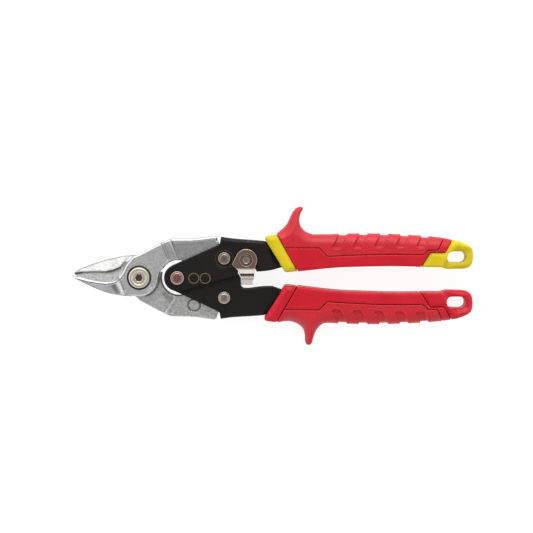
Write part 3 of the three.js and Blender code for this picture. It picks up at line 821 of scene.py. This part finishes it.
def stamped_ring(g, centre, radius):
    """How deep a plain ring is stamped into a face."""
    return 0.35 * between(np.abs(disc(g, centre, radius)), 0.6, 0.15)


def add_marks(obj, side, name, lines):
    """Paints light or shade onto a blade's skin along lines in plan, as a mesh attribute.

    Each line comes with a half width, a strength, and perhaps how far beside the line it runs.
    """
    count = len(obj.data.vertices)
    points = np.empty(count * 3)
    obj.data.vertices.foreach_get("co", points)
    x, y, z = (points.reshape(-1, 3) / MM - (0, 0, MID_PLANE)).T
    inner = z < 3.5 if side < 0 else z > 1
    marks = np.zeros(count)
    for line, width, strength, *beside in lines:
        away = np.abs(distance_to_line(x, side * y, line) - sum(beside))
        marks = np.maximum(marks, strength * between(away, width, width * 0.3) * inner)
    attribute = obj.data.attributes.new(name, "FLOAT", "POINT")
    attribute.data.foreach_set("value", marks.astype(np.float32))


def make_front_blade():
    boss_left = smooth_line(FRONT_BOSS_LEFT)[::-1]
    ground_edge = [*smooth_line(FRONT_CUTTING_EDGE)[::-1], *boss_left, *TAIL_TOP[::-1]]
    g = Grid((-41.5, -12.5, -3.6), (60.5, 27, 7.6), BLADE_STEP)
    front = blade(g, front_outline(), ground_edge, SHEAR_GAP, LINK_PIN + LOOSE)
    obj = piece("forged_front_blade", "front_blade", ["front_blade"], g, front, ground_steel,
                1, 0.45)
    scribed = [(x, y - 1.4) for x, y in FRONT_CUTTING_EDGE[2:6]]
    # Painted shade along the blade's shadow lines, grooves, outline, counterbore and tail.
    add_marks(obj, 1, "painted_shade", [(scribed, 0.8, 0.8), ([(-16, -4.4), (-12.7, -9)], 2.2, 0.55),
                               (ground_edge, 0.5, 0.4), (ground_edge, 0.6, 0.5, 1.6),
                               (smooth_line(FRONT_NOSE), 0.8, 0.55),
                               (BOSS_EDGE[2:6], 0.5, 0.6),
                               ([(13.1, 20.6), (16.6, 12.4)], 0.8, 0.5),
                               ([(13.9, 20.8), (17.4, 12.6)], 2.6, 0.35),
                               ([(18.8, 23), (22.7, 12.6)], 0.8, 0.6),
                               ([(25, 17), (50, 17)], 12, 0.32),
                               ([FRONT_NOSE[0], (-38.5, -0.5)], 1.6, 0.3),
                               (arc(*RING_CENTRE, RING_RADIUS, 40, 165, 16), 0.6, 0.6),
                               (arc(0, 0, 6.9, 0, 360, 32), 0.8, 0.95)])
    # Painted highlight along the ground bevel and on the ramp up to the boss.
    add_marks(obj, 1, "painted_highlight", [(ground_edge, 0.8, 0.25, 0.75),
                                 ([(-13.1, -2.4), (-10.7, -8.2)], 1.2, 0.5)])


def make_rear_blade():
    boss_left = smooth_line(FRONT_BOSS_LEFT)[::-1][-6:]
    ground_edge = [*smooth_line(REAR_CUTTING_EDGE)[::-1], *boss_left, *TAIL_TOP[::-1]]
    g = Grid((-41.5, -14.5, -3.6), (60.5, 27, 7.6), BLADE_STEP)
    rear = blade(g, rear_outline(), ground_edge, rear_land(g), LINK_PIN + RUNNING)
    stamp = both(g.z - TAIL_LOW - 1.5 * stamped_ring(g, STAMP, STAMP_RADIUS),
                 disc(g, STAMP, 6))
    rear = np.maximum(rear, -stamp)
    obj = piece("forged_rear_blade", "rear_blade", ["rear_blade"], g, rear, forged_steel,
                -1, 0.45)
    tip, shoulder = REAR_LAND_LINE[:2], REAR_LAND_LINE[-3:]
    # Painted shade along the land's shadow lines, the nose, ring, boss edge, stamped ring and
    # tail.
    add_marks(obj, -1, "painted_shade", [(REAR_LAND_LINE, 0.6, 0.5), (tip, 1.1, 0.75),
                                (shoulder, 0.9, 0.7), (REAR_LAND_END[:2], 0.5, 0.3),
                                (smooth_line(REAR_NOSE), 0.8, 0.65),
                                (arc(*RING_CENTRE, RING_RADIUS, 90, 200, 16), 0.8, 0.85),
                                (arc(0, 0, BOSS_RADIUS + 0.6, 0, 72, 12), 0.9, 0.7),
                                (arc(*STAMP, STAMP_RADIUS, 0, 360, 24), 1.2, 0.7),
                                ([(20.6, 12.6), (15.8, 19.6)], 0.8, 0.3),
                                ([(15, 10), (18.5, 14)], 2.6, 0.3),
                                ([(25, 17), (50, 17)], 12, 0.12)])


# ------------------------------------------------------------------ folded frames
PLATE_TOP, PLATE_BOTTOM = 7.225, -5.075
SHEET = 2.0
NOSE_RADIUS = 8.0
NECK = (75, 84)
TANG_HALF = 4.5
BEND_RADIUS = 2.3
FRAME_STEP = 0.36
FRAME_TOP_EDGE = [(168, 19), (84, 19), (80, 20.8), (75, 22.4), (70, 22.85), (60, 23.5),
                  (55, 23.9), (50, 24.65), (49, 24.85)]
FRAME_LEFT = [(48.4, 21), (47.3, 20)]
UPPER_INNER_EDGE = [(59.2, 1.7), (59.5, 4.9), (69.9, 5.7), (70.6, 4.1), (75, 4.4), (80.2, 5.1),
                    (85.3, 6.6), (88, 7.4), (89.5, 10), (168, 10)]
LOWER_INNER_EDGE = [(34, -4.6), (45, -2.4), (59.5, -2.2), (60.8, 0), (61.1, 4.4), (61.6, 5.7),
                    (62.8, 6.35), (65.7, 6.4), (71.4, 5.6), (75, 5.2), (80.2, 5), (85.7, 6.9),
                    (88, 7.6), (89.5, 10), (168, 10)]


def frame_channel(g, inner_edge, pivot_hole, embossed):
    """A plate folded into a channel, narrowing through a neck to its tang."""
    nose = arc(*HANDLE_PIVOT, NOSE_RADIUS, 114.6, 285, 28)
    plan = plan_distance(g, [*nose, *inner_edge, *FRAME_TOP_EDGE, *FRAME_LEFT])
    hollow_plan = plan_distance(g, [(0, -20), (172, -20), (172, 17), (84, 17), (80, 18.8),
                                    (75, 20.4), (60, 21.5), (55, 21.9), (49, 22.8), (0, 22.8)])
    neck = between(g.x, *NECK)
    top = PLATE_TOP - (PLATE_TOP - TANG_HALF) * neck
    bottom = PLATE_BOTTOM - (PLATE_BOTTOM + TANG_HALF) * neck
    skin = np.maximum(g.z - top + embossed, bottom - g.z)
    below_bend = plan_distance(g, [*FRAME_TOP_EDGE, (40, 26), (0, 26), (0, -40), (200, -40),
                                   (200, 19)])
    outside = np.maximum(both(plan, skin, 0.5), both(below_bend, skin, BEND_RADIUS))
    hollow = both(hollow_plan, np.maximum(g.z - top + SHEET, bottom + SHEET - g.z), 0.5)
    channel = without(outside, hollow, 0.2)
    channel = without(channel, disc(g, HANDLE_PIVOT, pivot_hole))
    return without(channel, disc(g, LINK_PIVOT, LINK_PIN + SNUG))


def make_frames():
    for handle, side, inner_edge in (("upper", 1, UPPER_INNER_EDGE),
                                     ("lower", -1, LOWER_INNER_EDGE)):
        g = Grid((13.5, -9.5, -6), (169.5, 26, 8.2), FRAME_STEP)
        embossed = 1.6 * stamped_ring(g, LINK_PIVOT, 5.1) if side > 0 else 0.0
        pivot_hole = HANDLE_PIN + (RUNNING if side > 0 else SNUG)
        field = frame_channel(g, inner_edge, pivot_hole, embossed)
        if side > 0:
            field = without(field, both(disc(g, LATCH_PIVOT, LATCH_PIN + SNUG), 4 - g.z))
        piece(f"folded_{handle}_frame", f"{handle}_handle", [f"{handle}_handle_frame"], g, field,
              marked_coat if side > 0 else black_coat, side, 0.35)


# ------------------------------------------------------------------ bolt, rivets and latch
HARDWARE_STEP = 0.2


def hexagon_distance(g, flats):
    return np.maximum.reduce([
        np.abs(g.x * math.cos(math.radians(a)) + g.y * math.sin(math.radians(a)))
        for a in (30, 90, 150)]) - flats / 2


def main_bolt(g):
    """A domed rim round a flat disc, on a shank that ends flush with the nut."""
    radius = from_axis(g)
    crown = 8.55 + 0.6 * np.sqrt(np.clip(1 - ((radius - 5.05) / 1.25) ** 2, 0, 1))
    dish = np.where(radius < 4.0, 8.75 - 0.5 * between(radius, 3.7, 4.0), crown)
    head = both(radius - BOLT_HEAD, np.maximum(g.z - dish, BOLT_SEAT + 0.02 - g.z), 0.35)
    shank = both(radius - BOLT_SHANK, np.maximum(g.z - 8, -MID_PLANE - g.z), 0.4)
    socket = both(hexagon_distance(g, 4.1), 6.2 - g.z)
    return without(np.minimum(head, shank), socket, 0.15)


def lock_nut(g):
    """A hexagon with its outer corners turned off."""
    radius = from_axis(g)
    body = both(hexagon_distance(g, 12), np.maximum(g.z + 5.53, -MID_PLANE - g.z), 0.3)
    chamfer = (radius - 6.45 + 0.6 * (-MID_PLANE - g.z + 0.6)) * 0.85
    return without(both(body, chamfer, 0.2), radius - (BOLT_SHANK + SNUG), 0.4)


def plain_ring(g, centre, inner, outer, low, high):
    tube = both(disc(g, centre, outer), levels(g, low, high), 0.12)
    return without(tube, disc(g, centre, inner), 0.1)


def rivet(g, centre, shank, head, front, back):
    """A rivet with a low peened head at each end and a shallow ring round its middle."""
    radius = from_axis(g, centre)
    ring = 0.22 * between(np.abs(radius - (head - 0.95)), 0.55, 0.1)
    swell = 0.25 * np.clip(1 - (radius / head) ** 2, 0, 1)
    front_head = both(radius - head, np.maximum(g.z - front - 1.0 - swell + ring,
                                                front + 0.02 - g.z), 0.35)
    back_head = both(radius - head, np.maximum(g.z - back + 0.02,
                                               back - 1.0 - swell + ring - g.z), 0.35)
    stem = both(radius - shank, levels(g, back - 0.4, front + 0.4))
    return np.minimum(np.minimum(front_head, back_head), stem)


def rivet_grid(centre, head, low, high):
    x, y = centre
    reach = head + 0.8
    return Grid((x - reach, y - reach, low), (x + reach, y + reach, high), HARDWARE_STEP)


def make_hardware():
    g = Grid((-7.4, -7.4, -10.6), (7.4, 7.4, 9.8), HARDWARE_STEP)
    piece("hex_socket_bolt", "rear_blade", ["pivot_bolt"], g, main_bolt(g), bolt_steel,
          1, 1)
    g = Grid((-7.6, -7.6, -10.6), (7.6, 7.6, -4.4), HARDWARE_STEP)
    piece("hex_lock_nut", "rear_blade", ["pivot_nut"], g, lock_nut(g), nickel, 1,
          0.5)
    piece("nut_washer", "rear_blade", ["pivot_washer"], g,
          plain_ring(g, (0, 0), BOLT_SHANK + SNUG, 6.8, -5.5, -5.02), nickel, 1,
          0.4)

    g = rivet_grid(HANDLE_PIVOT, HANDLE_HEAD, -9.4, 9.4)
    piece("handle_rivet", "lower_handle", ["handle_pivot_rivet"], g,
          rivet(g, HANDLE_PIVOT, HANDLE_PIN, HANDLE_HEAD, PLATE_TOP, -PLATE_TOP),
          headed_steel("handle_rivet_steel", HANDLE_PIVOT, 3.4, (0.26, 0.14, 0.125)),
          1, 1)
    g = rivet_grid(HANDLE_PIVOT, 5, -3.8, 3.8)
    piece("plate_spacer", "lower_handle", ["handle_pivot_spacer"], g,
          plain_ring(g, HANDLE_PIVOT, HANDLE_PIN + SNUG, 4.6, -3.05, 3.05), drawn_steel,
          1, 0.4)
    for handle, side in (("upper", 1), ("lower", -1)):
        g = rivet_grid(LINK_PIVOT, LINK_HEAD, -7.4, 9.4)
        centre = (LINK_PIVOT[0], side * LINK_PIVOT[1])
        head_color = (0.2, 0.17, 0.155) if side > 0 else (0.31, 0.27, 0.245)
        piece(f"{handle}_link_pin", f"{handle}_handle", [f"{handle}_link_rivet"], g,
              rivet(g, LINK_PIVOT, LINK_PIN, LINK_HEAD, PLATE_TOP, PLATE_BOTTOM),
              headed_steel(f"{handle}_link_steel", centre, 3.1, head_color, (0.44, 0.38, 0.32)),
              side, 1)


LATCH_SHEET = 1.44


def latch_sheet(g):
    """A disc with a thumb corner, rolled over the frame's edge and down to a short tab."""
    outline = [(68.3, -3.9), (68.3, -1.2), (69.1, -0.6), (69.1, 3.3), (69.5, 5.2),
               *arc(*LATCH_PIVOT, 6.6, -30, 155, 26), (56, 8.9), (55.9, 8.2), (58.6, 5.5),
               (59.9, 4.2), (60.4, 2.8), (61.1, 0.8), (61.35, -3.9)]
    middle = [(20, 8.25), (6.2, 8.25), (5.2, 8.05), (4.2, 7.5), (3.3, 6.7), (2.6, 5.6),
              (1.9, 4.6), (1.2, 4.2), (0.2, 4.0), (-0.6, 3.9), (-4.5, 3.1)]
    radius = from_axis(g, LATCH_PIVOT)
    pressed = 0.35 * between(radius, 3.9, 3.3)
    sheet = distance_to_line(g.y, g.z + pressed, middle) - LATCH_SHEET / 2
    plate = both(plan_distance(g, outline), sheet, 0.35)
    return without(plate, radius - (LATCH_PIN + RUNNING))


def make_latch():
    g = Grid((54.9, -5, 2.2), (72, 18.8, 10), HARDWARE_STEP)
    piece("pressed_latch", "latch", ["latch_plate"], g, latch_sheet(g), latch_plating,
          1, 0.85)
    g = rivet_grid(LATCH_PIVOT, 4.6, 6.6, 8.2)
    piece("latch_wave_washer", "latch", ["latch_spring_washer"], g,
          plain_ring(g, LATCH_PIVOT, LATCH_PIN + SNUG, 4.4, 7.25, 7.48), drawn_steel,
          1, 0.4)
    g = rivet_grid(LATCH_PIVOT, 3.2, 3.4, 10.6)
    radius = from_axis(g, LATCH_PIVOT)
    head = both(radius - LATCH_HEAD, levels(g, 8.6, 9.6 - 0.3 * between(radius, 2.2, 1.8)), 0.3)
    foot = both(radius - LATCH_HEAD, levels(g, 4.25, 5.2), 0.2)
    stem = both(radius - LATCH_PIN, levels(g, 4.6, 9.2))
    piece("latch_pin", "upper_handle", ["latch_rivet"], g,
          np.minimum(np.minimum(head, foot), stem),
          headed_steel("latch_pin_steel", LATCH_PIVOT, 1.9, (0.26, 0.22, 0.2),
                       (0.13, 0.11, 0.105)), 1, 1)


# ------------------------------------------------------------------ return spring
def make_spring():
    """A torsion spring round the handle pivot, wound up between the two handles."""
    wire, radius, turns, steps = 1.1, 5.9, 3, 150
    x, y = HANDLE_PIVOT
    sweep = turns * 360 + 220
    rise = wire * 1.1 * (turns + 0.6)
    points = []
    for i in range(steps + 1):
        angle = math.radians(-70 - sweep * i / steps)
        points.append((x + radius * math.cos(angle), y + radius * math.sin(angle),
                       (i / steps - 0.5) * rise))
    points = [(41, -2.6, points[0][2]), (40.2, -2.75, points[0][2]), *points,
              (40.2, 2.75, points[-1][2]), (41, 2.6, points[-1][2])]
    curve = bpy.data.curves.new("return_spring_wire", "CURVE")
    curve.dimensions = "3D"
    curve.bevel_depth = wire / 2 * MM
    curve.bevel_resolution = 3
    curve.use_fill_caps = True
    spline = curve.splines.new("POLY")
    spline.points.add(len(points) - 1)
    for point, (px, py, pz) in zip(spline.points, points):
        point.co = (px * MM, py * MM, (pz + MID_PLANE) * MM, 1)
    source = add_object("spring_curve", curve)
    mesh = bpy.data.meshes.new_from_object(source.evaluated_get(
        bpy.context.evaluated_depsgraph_get()))
    bpy.data.objects.remove(source)
    spring = add_object("wound_return_spring", mesh)
    mesh.materials.clear()
    mesh.materials.append(drawn_steel)
    mesh.polygons.foreach_set("use_smooth", [True] * len(mesh.polygons))
    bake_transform(spring)
    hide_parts("return_spring")


make_front_blade()
make_rear_blade()
make_frames()
make_hardware()
make_latch()
make_spring()


# ------------------------------------------------------------------ floor, light and camera
AIM = Vector((76.5, 7.3, MID_PLANE + 8)) * MM
VIEW_WIDTH = 319.8 * MM          # how wide the picture is at the aim point
DISTANCE = 0.95
TILT = math.radians(2.6)
ROLL = math.radians(0.38)
SENSOR = 36


def add_floor():
    size = 6
    corners = [(-size, -size, 0), (size, -size, 0), (size, size, 0), (-size, size, 0)]
    mesh = bpy.data.meshes.new("floor")
    mesh.from_pydata(corners, [], [(0, 1, 2, 3)])
    floor = add_object("floor", mesh)
    material, _, shader = new_material("pale_floor", (0.22, 0.22, 0.22), 0.9)
    shader.inputs["Emission Color"].default_value = (1, 1, 1, 1)
    shader.inputs["Emission Strength"].default_value = 0.87
    floor.data.materials.append(material)


def add_camera():
    data = bpy.data.cameras.new("camera")
    data.sensor_width = SENSOR
    data.lens = SENSOR * DISTANCE / VIEW_WIDTH
    data.clip_end = 20
    camera = add_object("camera", data)
    back = Vector((0, math.sin(TILT), math.cos(TILT)))
    up = Vector((0, math.cos(TILT), -math.sin(TILT)))
    right = up.cross(back)
    turn = Matrix.Rotation(ROLL, 3, "Z")
    axes = Matrix((right, up, back)).transposed() @ turn
    camera.matrix_world = Matrix.Translation(AIM + back * DISTANCE) @ axes.to_4x4()
    bpy.context.scene.camera = camera


def add_softbox(name, place, target, size, power):
    data = bpy.data.lights.new(name, "AREA")
    data.shape = "RECTANGLE"
    data.size, data.size_y = size
    data.energy = power
    light = add_object(name, data)
    light.location = place
    light.rotation_euler = (Vector(target) - Vector(place)).to_track_quat("-Z", "Y").to_euler()


def add_world():
    """A pale studio all round, dimmer overhead and brighter on the upper handle's side."""
    world = bpy.data.worlds.new("studio")
    world.use_nodes = True
    tree = world.node_tree
    background = tree.nodes["Background"]
    coordinates = tree.nodes.new("ShaderNodeTexCoord")
    split = tree.nodes.new("ShaderNodeSeparateXYZ")
    tree.links.new(coordinates.outputs["Generated"], split.inputs["Vector"])
    across = span(tree, split.outputs["Y"], 0.8, 1.5, -0.6, 0.9)
    height = span(tree, split.outputs["Z"], 1.02, 0.26, 0.8, 0.985)
    tree.links.new(product(tree, across, height), background.inputs["Strength"])
    background.inputs["Color"].default_value = (1, 1, 1, 1)
    bpy.context.scene.world = world


bpy.context.scene.view_settings.view_transform = "Standard"
add_floor()
add_camera()
add_world()
add_softbox("key", (0.05, 1.1, 0.75), (0.08, 0, 0), (0.9, 0.5), 6.8)
